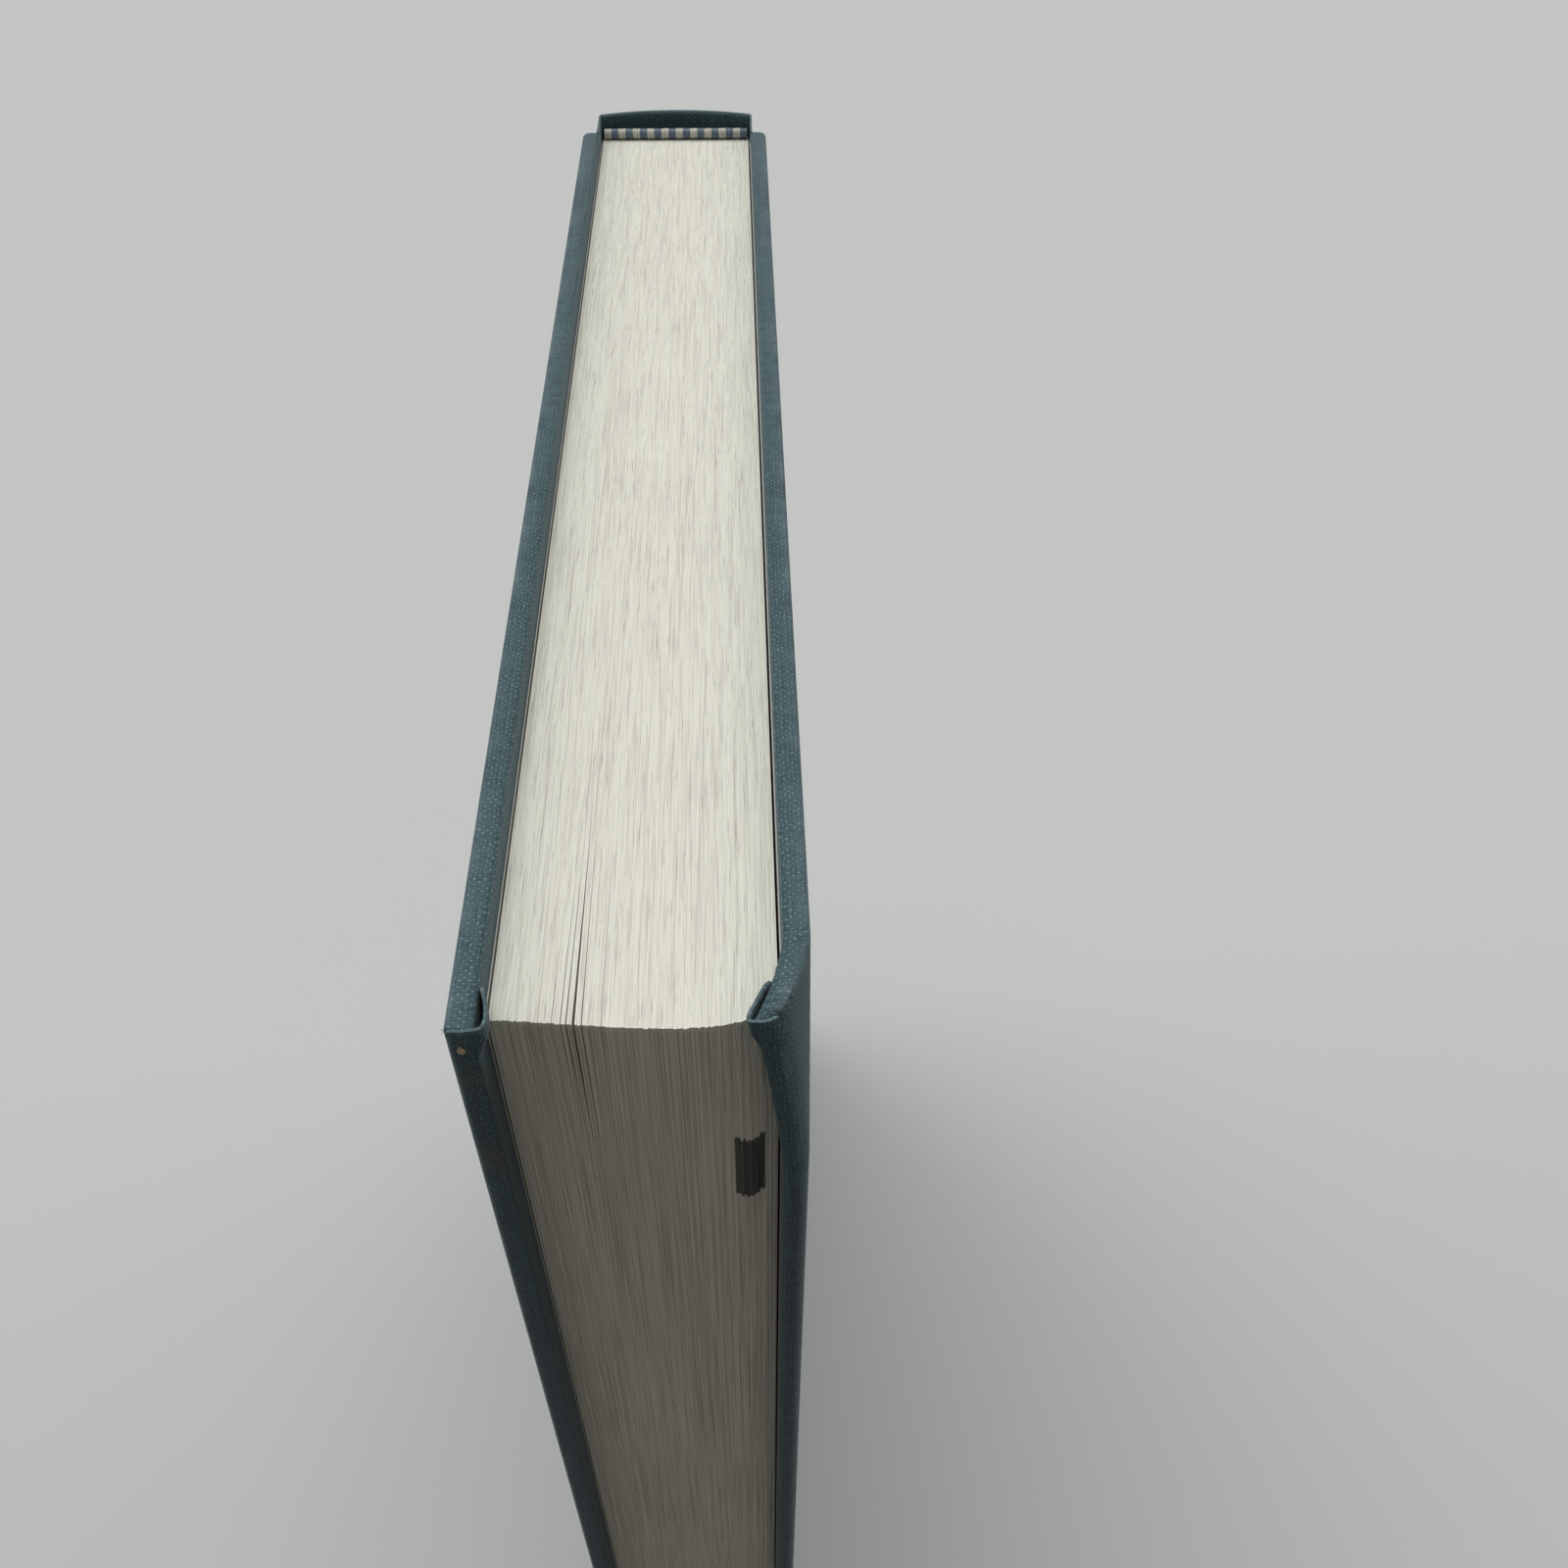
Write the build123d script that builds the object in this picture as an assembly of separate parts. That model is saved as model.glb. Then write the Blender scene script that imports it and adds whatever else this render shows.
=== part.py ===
"""Case-bound reference book, closed and standing on the tail edges of its covers.

+Z runs from tail to head, +Y from fore-edge to spine, and the front cover is on -X.
The origin is the middle of the footprint, on the surface the book stands on. Millimetres.
"""

import os
from math import sqrt

from build123d import *

# Leaves
PAGE_WIDTH = 178.0  # spine to fore-edge
PAGE_HEIGHT = 254.0  # tail to head
BLOCK_THICKNESS = 23.8
FORE_EDGE_SWELL = 1.2  # the middle leaves stand this far forward of the outer ones
GATHERING_COUNT = 15
GATHERING_GROOVE = 0.12  # depth of the line between two gatherings
SPLIT_SHARES = (0.285, 0.315)  # places of the opened leaves, from the front side
SPLIT_WIDTHS = (0.55, 0.35)  # at the corner of the leaves
SPLIT_ALONG_HEAD = 17.0
SPLIT_ALONG_FORE_EDGE = 30.0

# Endpapers
ENDPAPER = 0.12
COVER_GAP = 0.25  # air between flyleaf and pastedown

# Covers
SQUARE = 3.3  # overhang of the covers past the leaves
BOARD_THICKNESS = 1.85
CLOTH = 0.3
TURN_IN = 15.0
EDGE_EASE = 0.42  # bevel along the edges of a covered board
BOARD_EASE = 0.22  # the same under the cloth
SEAM_WIDTH = 0.12  # where the fore-edge turn-in laps the head and tail ones
SEAM_DEPTH = 0.35
FLAP_LENGTH = 4.8  # loosened end of a turn-in at a head corner
FLAP_LIFT = 0.5

# Bumped corner of the back cover
BUMP_ALONG_HEAD = 9.0
BUMP_ALONG_FORE_EDGE = 23.0
BUMP_SHARES = (0.4, 0.7, 1.0)  # places of the creases, the one nearest the tip first
BUMP_ANGLE = 10.5  # at each crease, degrees

# Joints of the covers
JOINT_WIDTH = 6.0  # back of the leaves to the covered edge of a board
HINGE_SETBACK = 1.4  # back of the leaves to the hinge line
HINGE_SLIT = 0.3  # between the cloth of a cover and that of the spine

# Spine
MULL = 0.15
LINING = 0.2
HOLLOW = 0.15  # air between lining and inlay at the sides of the spine
INLAY = 0.6
SPINE_RISE = 1.9
BEAD_DIAMETER = 1.8
BAND_TAPE = 0.25
BAND_HEIGHT = 11.0
LINING_MARGIN = 1.0  # between a band and the lining

# Places that follow from the sizes
half = BLOCK_THICKNESS / 2
cover_height = PAGE_HEIGHT + 2 * SQUARE
tail_z = SQUARE
head_z = SQUARE + PAGE_HEIGHT
spine_stack = MULL + LINING + HOLLOW
depth = SQUARE + PAGE_WIDTH + spine_stack + SPINE_RISE + INLAY + CLOTH
cover_front = -depth / 2
fore_edge = cover_front + SQUARE
spine = fore_edge + PAGE_WIDTH
inlay_side = spine + spine_stack
cover_in = half + ENDPAPER + COVER_GAP + ENDPAPER
cover_out = cover_in + CLOTH + BOARD_THICKNESS + CLOTH
joint = spine - JOINT_WIDTH
hinge_y = spine - HINGE_SETBACK


def block(x_range, y_range, z_range):
    """Box between pairs of coordinates."""
    low, high = zip(x_range, y_range, z_range)
    sizes = [b - a for a, b in zip(low, high)]
    return Pos(*low) * Box(*sizes, align=(Align.MIN, Align.MIN, Align.MIN))


def eased(shape, ease):
    """Takes the sharpness off every edge of a cover's box but the one the joint cloth leaves from."""
    kept = shape.edges().filter_by(Axis.Z).group_by(Axis.Y)[-1].sort_by(Axis.X)[0]
    return chamfer([edge for edge in shape.edges() if edge != kept], ease)


def bumped(shape):
    """Bends the head corner of the back cover inwards, crease by crease from the tip."""
    still = shape
    bent = Part()
    for share in BUMP_SHARES:
        low_end = Vector(cover_out, cover_front, cover_height - share * BUMP_ALONG_FORE_EDGE)
        high_end = Vector(cover_out, cover_front + share * BUMP_ALONG_HEAD, cover_height)
        crease = Axis(low_end, high_end - low_end)
        towards_tip = Vector(0, -BUMP_ALONG_FORE_EDGE, BUMP_ALONG_HEAD)
        wall = Plane(origin=low_end, x_dir=high_end - low_end, z_dir=towards_tip)
        bent += split(still, bisect_by=wall, keep=Keep.TOP)
        bent = bent.rotate(crease, -BUMP_ANGLE)
        still = split(still, bisect_by=wall, keep=Keep.BOTTOM)
    return still + bent


def fore_edge_at(x):
    """Y of the swelled fore-edge at a place across the leaves."""
    radius = (half**2 + FORE_EDGE_SWELL**2) / (2 * FORE_EDGE_SWELL)
    return fore_edge + radius - FORE_EDGE_SWELL - sqrt(radius**2 - x**2)


def leaf_opening(x, width):
    """Wedge between leaves that stand apart at the head corner and close away from it."""
    over = FORE_EDGE_SWELL
    y_tip = fore_edge_at(x) - over
    z_tip = head_z + over
    left = (x - width / 2, y_tip, z_tip)
    right = (x + width / 2, y_tip, z_tip)
    back = (x, y_tip + SPLIT_ALONG_HEAD + over, z_tip)
    low = (x, y_tip, z_tip - SPLIT_ALONG_FORE_EDGE - over)
    triples = ((left, right, back), (left, low, right), (left, back, low), (right, low, back))
    faces = [Face(Wire.make_polygon(triple, close=True)) for triple in triples]
    return Solid(Shell(faces))


def leaves():
    """Text block: leaves with a swelled fore-edge, gathering lines and two openings."""
    with BuildPart() as body:
        with BuildSketch(Plane.XY.offset(tail_z)):
            with BuildLine():
                Polyline((-half, fore_edge), (-half, spine), (half, spine), (half, fore_edge))
                ThreePointArc((half, fore_edge), (0, fore_edge - FORE_EDGE_SWELL), (-half, fore_edge))
            make_face()
        extrude(amount=PAGE_HEIGHT)
    cuts = []
    deep = GATHERING_GROOVE
    for number in range(1, GATHERING_COUNT):
        x = -half + BLOCK_THICKNESS * number / GATHERING_COUNT
        y = fore_edge_at(x)
        across = Polygon((x - deep, y - deep), (x + deep, y - deep), (x, y + deep), align=None)
        cuts.append(extrude(Pos(0, 0, tail_z) * across, PAGE_HEIGHT))
        for z, way in ((head_z, deep), (tail_z, -deep)):
            along = Polygon((x - deep, z + way), (x + deep, z + way), (x, z - way), align=None)
            cuts.append(extrude(Plane.XZ.offset(-spine) * along, spine - fore_edge + FORE_EDGE_SWELL))
    for share, width in zip(SPLIT_SHARES, SPLIT_WIDTHS):
        cuts.append(leaf_opening(-half + BLOCK_THICKNESS * share, width))
    cuts.append(bumped(cover_slab(half, cover_out)))
    cuts.append(flap_room())
    return body.part - cuts


def cover_slab(x_low, x_high):
    """One layer of the back cover over its whole outline."""
    return block((x_low, x_high), (cover_front, joint), (0, cover_height))


def flap_room():
    """Room that the loosened flap of the bumped corner takes from the leaves."""
    flap_side = cover_in - FLAP_LIFT - CLOTH - COVER_GAP
    return bumped(
        block(
            (flap_side, cover_out),
            (cover_front, fore_edge + FLAP_LENGTH),
            (head_z - COVER_GAP, cover_height),
        )
    )


def shaped(shape, bent):
    """The shape as it is, or with its corner bumped."""
    return bumped(shape) if bent else shape


def loose_flap():
    """Loosened end of the turn-in at the head corner, bowed off the inside of the board."""
    with BuildPart() as body:
        with BuildSketch(Plane.XY.offset(head_z)):
            near = cover_front + EDGE_EASE
            middle = near + FLAP_LENGTH / 2
            far = near + FLAP_LENGTH
            with BuildLine():
                ThreePointArc((cover_in + CLOTH, near), (cover_in - FLAP_LIFT, middle), (cover_in + CLOTH, far))
                ThreePointArc((cover_in, far), (cover_in - FLAP_LIFT - CLOTH, middle), (cover_in, near))
                Line((cover_in + CLOTH, far), (cover_in, far))
                Line((cover_in, near), (cover_in + CLOTH, near))
            make_face()
        extrude(amount=SQUARE - EDGE_EASE)
    return body.part


def cover_pieces(bent):
    """Board, cloth and pastedown of the cover on +X."""
    case = eased(cover_slab(cover_in, cover_out), EDGE_EASE)
    inner = block(
        (cover_in + CLOTH, cover_out - CLOTH),
        (cover_front + CLOTH, joint - CLOTH),
        (CLOTH, cover_height - CLOTH),
    )
    board = shaped(eased(inner, BOARD_EASE), bent)
    seam_y = (cover_front + CLOTH, cover_front + CLOTH + SEAM_WIDTH)
    seam_x = (cover_in, cover_out - EDGE_EASE)
    for z_range in ((0, SEAM_DEPTH), (cover_height - SEAM_DEPTH, cover_height)):
        case -= block(seam_x, seam_y, z_range)
    window_y = (cover_front + TURN_IN, joint - CLOTH)
    window_z = (TURN_IN, cover_height - TURN_IN)
    strip = block(
        (cover_in, cover_in + CLOTH),
        (joint - CLOTH, hinge_y - HINGE_SLIT / 2),
        (0, cover_height),
    )
    cloth = shaped(case + loose_flap(), bent) - board
    cloth = cloth - block((cover_in, cover_in + CLOTH), window_y, window_z) + strip
    paper_y = (fore_edge, hinge_y - HINGE_SLIT / 2)
    paper_z = (tail_z, head_z)
    sheet = shaped(block((cover_in - ENDPAPER, cover_in), (cover_front, paper_y[1]), (0, cover_height)), bent)
    sheet = sheet & block((0, cover_out), paper_y, paper_z)
    pressed = block((cover_in - ENDPAPER, cover_in + CLOTH), window_y, window_z)
    hollow_y = (window_y[0] + ENDPAPER, window_y[1] - ENDPAPER)
    hollow_z = (window_z[0] + ENDPAPER, window_z[1] - ENDPAPER)
    pastedown = sheet + pressed
    pastedown -= block((cover_in - ENDPAPER, cover_in + CLOTH - ENDPAPER), hollow_y, hollow_z)
    return {"board": board, "cloth": cloth, "pastedown": pastedown - cloth}


def flyleaf(bent):
    """Free half of the endpaper on +X."""
    sheet = shaped(block((half, half + ENDPAPER), (cover_front, spine), (0, cover_height)), bent)
    sheet = sheet & block((0, cover_out), (fore_edge, spine), (tail_z, head_z))
    return sheet - flap_room() if bent else sheet


def spine_band(half_width, inside, outside, z_range):
    """Arched strip of the spine, between two distances from the inside of the inlay."""
    with BuildPart() as body:
        with BuildSketch(Plane.XY.offset(z_range[0])):
            near = inlay_side + inside
            far = inlay_side + outside
            with BuildLine():
                ThreePointArc((-half_width, near), (0, near + SPINE_RISE), (half_width, near))
                Line((half_width, near), (half_width, far))
                ThreePointArc((half_width, far), (0, far + SPINE_RISE), (-half_width, far))
                Line((-half_width, far), (-half_width, near))
            make_face()
        extrude(amount=z_range[1] - z_range[0])
    return body.part


def spine_pieces():
    """Inlay and cloth of the spine, with the joint cloth as far as the hinge lines."""
    inlay = spine_band(cover_in, 0, INLAY, (CLOTH, cover_height - CLOTH))
    cloth = spine_band(cover_in + CLOTH, -CLOTH, INLAY + CLOTH, (0, cover_height))
    cloth -= inlay
    cloth -= spine_band(cover_in, -CLOTH, 0, (TURN_IN, cover_height - TURN_IN))
    strip = block((cover_in, cover_in + CLOTH), (hinge_y + HINGE_SLIT / 2, inlay_side), (0, cover_height))
    return inlay, cloth + strip + mirror(strip, about=Plane.YZ)


def end_band():
    """Headband: a wrapped bead over the edge of the leaves on a tape glued to their back."""
    radius = BEAD_DIAMETER / 2
    back = spine + BAND_TAPE
    tape = block((-half, half), (spine, back), (head_z - BAND_HEIGHT, head_z + radius))
    ends = Plane.YZ.offset(-half) * Pos(back - radius, head_z + radius)
    return tape + extrude(ends * Circle(radius), BLOCK_THICKNESS)


def mull():
    """Gauze over the back of the leaves and round to the hinge lines."""
    z_range = (tail_z + BAND_HEIGHT + LINING_MARGIN, head_z - BAND_HEIGHT - LINING_MARGIN)
    side = half + ENDPAPER
    flange = block((side, side + MULL), (hinge_y + HINGE_SLIT, spine + MULL), z_range)
    back = block((-side, side), (spine, spine + MULL), z_range)
    return back + flange + mirror(flange, about=Plane.YZ)


def lining():
    """Paper over the mull."""
    z_range = (tail_z + BAND_HEIGHT + LINING_MARGIN, head_z - BAND_HEIGHT - LINING_MARGIN)
    return block((-half, half), (spine + MULL, spine + MULL + LINING), z_range)


mid_height = Plane.XY.offset(cover_height / 2)
inlay_piece, spine_cloth_piece = spine_pieces()
headband_piece = end_band()
pieces = {
    "text_block": leaves(),
    "front_flyleaf": mirror(flyleaf(False), about=Plane.YZ),
    "back_flyleaf": flyleaf(True),
    "spine_mull": mull(),
    "spine_lining": lining(),
    "headband": headband_piece,
    "tailband": mirror(headband_piece, about=mid_height),
    "spine_inlay": inlay_piece,
    "spine_cloth": spine_cloth_piece,
}
for name, piece in cover_pieces(False).items():
    pieces["front_" + name] = mirror(piece, about=Plane.YZ)
for name, piece in cover_pieces(True).items():
    pieces["back_" + name] = piece

os.makedirs("parts", exist_ok=True)
for name, piece in pieces.items():
    export_step(piece, "parts/" + name + ".step")
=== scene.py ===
import math
import random

import bpy
import numpy as np
from mathutils import Matrix, Vector


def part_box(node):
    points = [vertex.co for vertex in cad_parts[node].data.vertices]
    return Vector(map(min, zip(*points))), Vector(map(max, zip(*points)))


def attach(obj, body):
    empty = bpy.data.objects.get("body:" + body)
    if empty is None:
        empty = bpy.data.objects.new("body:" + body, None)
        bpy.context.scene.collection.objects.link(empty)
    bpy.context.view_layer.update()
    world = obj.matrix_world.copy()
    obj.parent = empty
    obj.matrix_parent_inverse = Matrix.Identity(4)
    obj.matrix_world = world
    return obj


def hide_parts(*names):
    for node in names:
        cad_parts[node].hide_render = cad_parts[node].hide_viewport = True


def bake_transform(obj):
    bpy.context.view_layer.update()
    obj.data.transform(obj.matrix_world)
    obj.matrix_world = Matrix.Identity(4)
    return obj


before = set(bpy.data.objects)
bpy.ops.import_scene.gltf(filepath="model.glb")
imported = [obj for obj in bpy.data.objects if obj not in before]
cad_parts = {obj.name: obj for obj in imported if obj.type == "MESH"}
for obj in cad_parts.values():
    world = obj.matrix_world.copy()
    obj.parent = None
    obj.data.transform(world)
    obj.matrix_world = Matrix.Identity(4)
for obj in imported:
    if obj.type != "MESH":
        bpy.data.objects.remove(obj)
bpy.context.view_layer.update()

# Leaves
# About 240 leaves of cream uncoated book paper, sewn in gatherings, glued at the back and trimmed on
# three sides. Two leaves make one bundle here, and each bundle has settled a little differently. Near the
# front the leaves have come apart in narrow openings, and at the bumped corner they lie squeezed.
mm = 0.001
leaf_low, leaf_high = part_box("text_block")
# The fore-edge swells forwards, and with a lean over 1 it swells most nearer to the back cover.
fore_edge_swell = 1.2 * mm
swell_lean = 1.6
fore_edge = leaf_low.y + fore_edge_swell
spine = leaf_high.y
tail, head = leaf_low.z, leaf_high.z
leaf_half = leaf_high.x
bundle_count = 118
bundle_width = 0.2 * mm
bundle_bevel = 0.015 * mm
bundle_cuts_from_front = (0.8, 2.5, 5, 8, 12, 18, 28, 48, 85, 130)
bundle_cuts_from_head = (0.8, 2.5, 5, 8, 12, 17, 23, 30, 42, 65, 105, 150, 200, 240)
opening_places = [x * mm for x in (-6.35, -5.65, -5.25, -4.8, -4.26, -2.7)]
opening_widths = [width * mm for width in (0.04, 0.08, 0.1, 0.24, 0.08, 0.04)]
opening_along_head = 23 * mm
opening_along_fore_edge = 24 * mm
settle_fore_edge = 0.05 * mm
settle_head = 0.05 * mm
settle_reach = 12 * mm
sway_up, sway_back = 0.1 * mm, 0.06 * mm
sway_length_up, sway_length_across, sway_length_back = 34 * mm, 5 * mm, 21 * mm

# The bumped corner rolls inwards about its diagonal: it turns more and more from where the bend starts,
# at these distances from the corner, to the tip.
cover_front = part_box("front_cloth")[0].y
cover_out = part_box("back_cloth")[1].x
cover_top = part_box("front_cloth")[1].z
bump_along_head = 9.3 * mm
bump_along_fore_edge = 26 * mm
bump_turn = math.radians(29)
bump_shear = -0.2
bump_reach = 6 * mm
bump_diagonal = math.hypot(bump_along_head, bump_along_fore_edge)
bump_length = bump_along_head * bump_along_fore_edge / bump_diagonal
bump_way_y = -bump_along_fore_edge / bump_diagonal
bump_way_z = bump_along_head / bump_diagonal
roll_shares = np.linspace(0, 1.2, 121)
roll_turns = bump_turn * roll_shares ** 0.45
roll_step = bump_length * roll_shares[1]
roll_in = np.cumsum(np.sin(roll_turns)) * roll_step
roll_along = np.cumsum(np.cos(roll_turns)) * roll_step - roll_step


def bump_share(y, z):
    """How far places are into the bump: 0 where the bend starts and 1 at the tip."""
    away = (y - cover_front) / bump_along_head + (cover_top - z) / bump_along_fore_edge
    return np.clip(1 - away, 0, None)


def pick(piece):
    """Makes one object the only one that operators act on."""
    if bpy.context.mode != "OBJECT":
        bpy.ops.object.mode_set(mode="OBJECT")
    bpy.ops.object.select_all(action="DESELECT")
    piece.select_set(True)
    bpy.context.view_layer.objects.active = piece


def box_piece(name, low, high):
    """A box primitive between two corners, with its place in its mesh."""
    low, high = Vector(low), Vector(high)
    bpy.ops.mesh.primitive_cube_add(size=1, location=(low + high) / 2, scale=high - low)
    piece = bpy.context.object
    piece.name = name
    bpy.ops.object.transform_apply(location=True, rotation=True, scale=True)
    return piece


def slice_across(piece, axis, cuts):
    """Cuts new edge loops across a whole piece, on planes square to one axis."""
    pick(piece)
    bpy.ops.object.mode_set(mode="EDIT")
    for cut in cuts:
        point = Vector((0, 0, 0))
        normal = Vector((0, 0, 0))
        point[axis] = cut
        normal[axis] = 1
        bpy.ops.mesh.select_all(action="SELECT")
        bpy.ops.mesh.bisect(plane_co=point, plane_no=normal)
    bpy.ops.object.mode_set(mode="OBJECT")


def select_nothing(piece, kind):
    """Opens a piece, clears its selection of vertices, edges or faces, and closes it."""
    pick(piece)
    bpy.ops.object.mode_set(mode="EDIT")
    bpy.ops.mesh.select_mode(type=kind)
    bpy.ops.mesh.select_all(action="DESELECT")
    bpy.ops.object.mode_set(mode="OBJECT")


def bevel_edges(piece, wanted, width, segments):
    """Rounds the edges whose two ends satisfy a test."""
    select_nothing(piece, "EDGE")
    points = [vertex.co for vertex in piece.data.vertices]
    for edge in piece.data.edges:
        edge.select = wanted(points[edge.vertices[0]], points[edge.vertices[1]])
    bpy.ops.object.mode_set(mode="EDIT")
    bpy.ops.mesh.bevel(offset=width, segments=segments, affect="EDGES")
    bpy.ops.object.mode_set(mode="OBJECT")


def read_points(mesh):
    """Vertex places of a mesh as rows of an array."""
    points = np.empty(len(mesh.vertices) * 3)
    mesh.vertices.foreach_get("co", points)
    return points.reshape(-1, 3)


def write_points(mesh, points):
    """Moves the vertices of a mesh to the rows of an array."""
    mesh.vertices.foreach_set("co", points.ravel())
    mesh.update()


def copy_at(piece, points, name):
    """Copies a piece, with its own mesh and its vertices at new places."""
    copy = bpy.data.objects.new(name, piece.data.copy())
    bpy.context.collection.objects.link(copy)
    write_points(copy.data, points)
    return copy


def join(pieces, name):
    """Makes one piece of several."""
    bpy.ops.object.select_all(action="DESELECT")
    for piece in pieces:
        piece.select_set(True)
    bpy.context.view_layer.objects.active = pieces[0]
    bpy.ops.object.join()
    whole = bpy.context.object
    whole.name = name
    return whole


# Edges and faces are found by their places, to within this distance.
near = 1e-7
bundle = box_piece("leaf_bundle", (0, fore_edge, tail), (bundle_width, spine, head))
slice_across(bundle, 1, [fore_edge + step * mm for step in bundle_cuts_from_front])
slice_across(bundle, 2, [head - step * mm for step in bundle_cuts_from_head])


def on_trimmed_edge(a, b):
    """Long edges of a bundle at the fore-edge, head and tail."""
    along = abs(a.x - b.x) < near
    front = a.y < fore_edge + near and b.y < fore_edge + near
    top = a.z > head - near and b.z > head - near
    foot = a.z < tail + near and b.z < tail + near
    return along and (front or top or foot)


bevel_edges(bundle, on_trimmed_edge, bundle_bevel, 1)
flat_bundle = read_points(bundle.data)

draw = random.Random(12)
widths = [0.55 + draw.random() for _ in range(bundle_count)]
bundle_sides = np.concatenate(([0], np.cumsum(widths))) / sum(widths) * 2 * leaf_half - leaf_half
for opening in opening_places:
    bundle_sides[np.argmin(abs(bundle_sides - opening))] = opening

bundles = []
for left, right in zip(bundle_sides[:-1], bundle_sides[1:]):
    x = left + flat_bundle[:, 0] / bundle_width * (right - left)
    y, z = flat_bundle[:, 1], flat_bundle[:, 2]
    middle = (left + right) / 2
    from_spine = 1 - (y - fore_edge) / (spine - fore_edge)
    across = (middle + leaf_half) / (2 * leaf_half)
    forward = fore_edge_swell * (1 - (2 * across ** swell_lean - 1) ** 2)
    near_front = np.exp(-(y - fore_edge) / settle_reach)
    y_new = y - forward * from_spine + draw.uniform(-1, 1) * settle_fore_edge * near_front
    up_share = (z - tail) / (head - tail)
    settle_wave = np.sin((y - fore_edge) / (draw.uniform(6, 16) * mm) + draw.uniform(0, 6))
    z_new = z + draw.uniform(-1, 0.4) * settle_head * up_share * (0.5 + 0.5 * settle_wave)
    z_new += draw.uniform(0, 1) * settle_head * (1 - up_share)
    sway = sway_up * np.sin(z / sway_length_up + middle / sway_length_across)
    sway += sway_back * np.sin(y / sway_length_back + 1)
    x_new = x + sway * (1 - (x / leaf_half) ** 2)
    gape = 1 - (y - fore_edge) / opening_along_head - (head - z) / opening_along_fore_edge
    gape = np.clip(gape, 0, 1) ** 1.2
    for opening, width in zip(opening_places, opening_widths):
        if middle < opening:
            x_new -= gape * width * (x + leaf_half) / (opening + leaf_half)
    squeeze = np.clip((x - leaf_half + bump_reach) / bump_reach, 0, 1)
    x_new -= np.interp(bump_share(y, z), roll_shares, roll_in) * squeeze
    bundles.append(copy_at(bundle, np.column_stack((x_new, y_new, z_new)), "leaf_bundle"))
bpy.data.objects.remove(bundle)
leaves = join(bundles, "paper_leaves")


def linear(hex_colour):
    """sRGB hex colour as a linear RGBA value."""
    parts = [int(hex_colour[i:i + 2], 16) / 255 for i in (1, 3, 5)]
    return tuple(p / 12.92 if p <= 0.04045 else ((p + 0.055) / 1.055) ** 2.4 for p in parts) + (1,)


def add_node(tree, kind, inputs, ramp=(), **settings):
    """Adds a shader node, with values or links for its inputs and (stop, colour) pairs for its ramp."""
    node = tree.nodes.new("ShaderNode" + kind)
    for name, value in settings.items():
        setattr(node, name, value)
    for socket, value in inputs.items():
        if isinstance(value, bpy.types.NodeSocket):
            tree.links.new(value, node.inputs[socket])
        else:
            node.inputs[socket].default_value = value
    for number, (stop, colour) in enumerate(ramp):
        node.color_ramp.elements[number].position = stop
        node.color_ramp.elements[number].color = linear(colour)
    return node


def finish_of(name, roughness, **constants):
    """A new material with its node tree and its shader."""
    material = bpy.data.materials.new(name)
    material.use_nodes = True
    shader = material.node_tree.nodes["Principled BSDF"]
    shader.inputs["Roughness"].default_value = roughness
    for socket, value in constants.items():
        shader.inputs[socket.replace("_", " ")].default_value = value
    return material, material.node_tree, shader


def repeats(*sizes):
    """The Mapping scale that draws a pattern of size 1 at these sizes along x, y and z."""
    return tuple(1 / size for size in sizes)


# Uncoated book paper, guillotined: matte and off-white, with faint darker lines where leaves meet, broken
# into dashes by the cutter; their darkness is partly the leaves' own tone and partly painted shade in the
# gaps between the leaves. A leaf is 0.1 mm thick, and the broad soft lines are drawn a half wider, so that
# they show. On a colour Mix, input 0 is the share, 6 and 7 are the colours and output 2 the result.
soft_line = repeats(0.15625 * mm, 9.524 * mm, 16.667 * mm)
dash = repeats(0.07692 * mm, 3.333 * mm, 9.091 * mm)
book_paper, tree, shader = finish_of("uncoated_book_paper", 0.88)
spot = add_node(tree, "TexCoord", {}).outputs["Object"]
soft_lines = add_node(tree, "Mapping", {"Vector": spot, "Scale": soft_line})
leaf_tone = add_node(
    tree, "TexNoise", {"Vector": soft_lines.outputs[0], "Scale": 1.0, "Detail": 2.0, "Roughness": 0.6},
)
# Partly painted shade: the darker end of this ramp also stands in for shade between the leaves.
paper_colour = add_node(
    tree, "ValToRGB", {"Fac": leaf_tone.outputs["Fac"]}, ramp=((0.24, "#C6C2B6"), (0.54, "#E8E7DA")),
)
dash_lines = add_node(tree, "Mapping", {"Vector": spot, "Scale": dash})
dash_tone = add_node(
    tree, "TexNoise", {"Vector": dash_lines.outputs[0], "Scale": 1.0, "Detail": 2.0, "Roughness": 0.5},
)
# The darker dashes are partly painted shade in the gaps between the leaves.
dashes = add_node(
    tree, "MapRange",
    {"Value": dash_tone.outputs["Fac"], "From Min": 0.6, "From Max": 0.74, "To Max": 0.62},
)
dashed = add_node(
    tree, "Mix",
    {0: dashes.outputs[0], 6: paper_colour.outputs["Color"], 7: linear("#8E8A80")},
    data_type="RGBA",
)

# On the fore-edge the lines run from head to tail, one for each leaf, sharper than on the head. Their
# darkness there is painted shade between the leaves, which the light from above only grazes.
fore_line = repeats(0.11111 * mm, math.inf, 40 * mm)
axes = add_node(tree, "SeparateXYZ", {"Vector": spot})
fore_lines = add_node(tree, "Mapping", {"Vector": spot, "Scale": fore_line})
fore_tone = add_node(tree, "TexNoise", {"Vector": fore_lines.outputs[0], "Scale": 1.0, "Detail": 2.0})
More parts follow.
